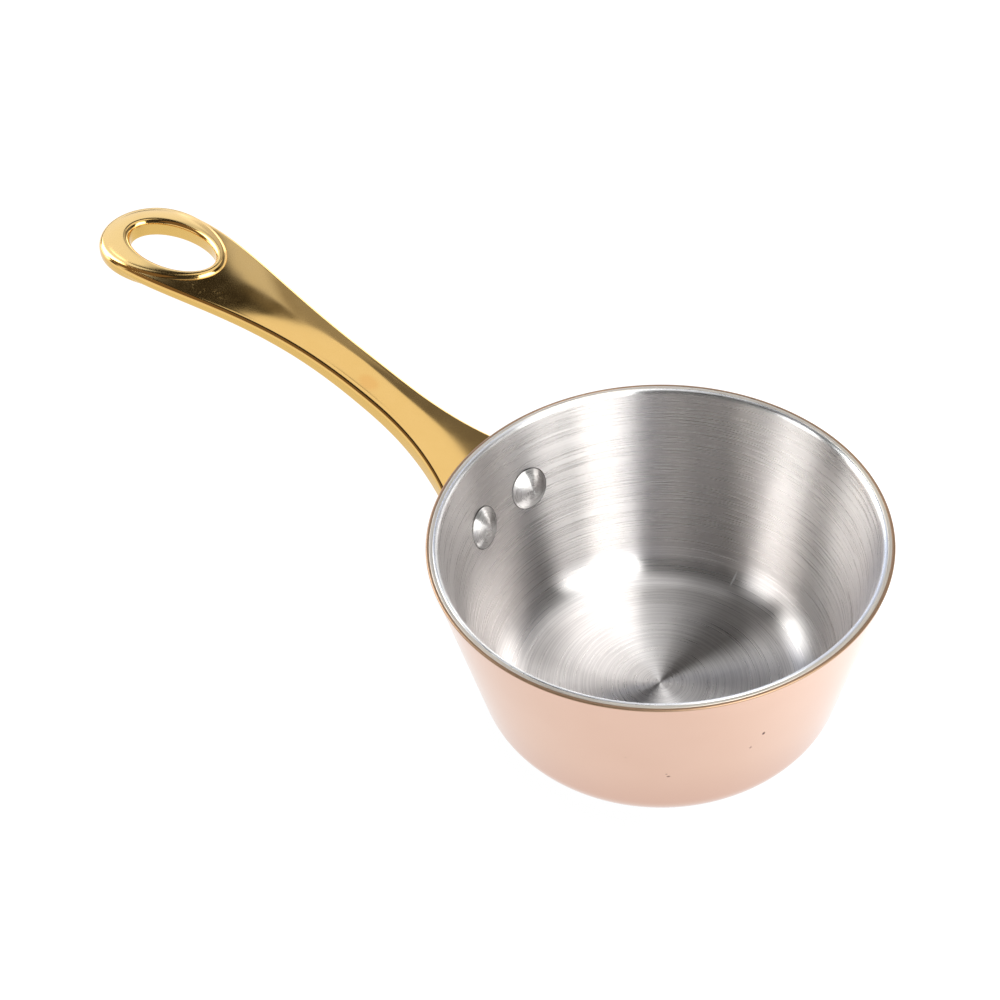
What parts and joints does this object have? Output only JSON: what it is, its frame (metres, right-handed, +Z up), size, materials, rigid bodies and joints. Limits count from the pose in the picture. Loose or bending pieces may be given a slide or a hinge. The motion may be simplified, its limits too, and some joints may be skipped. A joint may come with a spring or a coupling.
{
  "type": "saucepan",
  "caption": "Small layered saucepan with flared sides, copper outside and steel inside, and a long curved brass handle that is riveted to the wall and ends in a hanging ring.",
  "frame": {"origin": "centre of the flat base's underside", "axes": "+Z up along the pan's axis, +X from the pan along the handle to its ring, +Y across the handle"},
  "size_m": [0.192, 0.09, 0.0555],
  "materials": {
    "copper": "polished copper",
    "core": "plain aluminium, seen only as a thin line at the rim",
    "lining": "brushed round the axis",
    "handle": "polished cast brass",
    "rivet": "polished steel"
  },
  "bodies": {
    "root": {"copper_shell": "copper", "aluminium_core": "core", "steel_liner": "lining", "handle": "handle", "rivet_left": "rivet", "rivet_right": "rivet"}
  },
  "joints": []
}
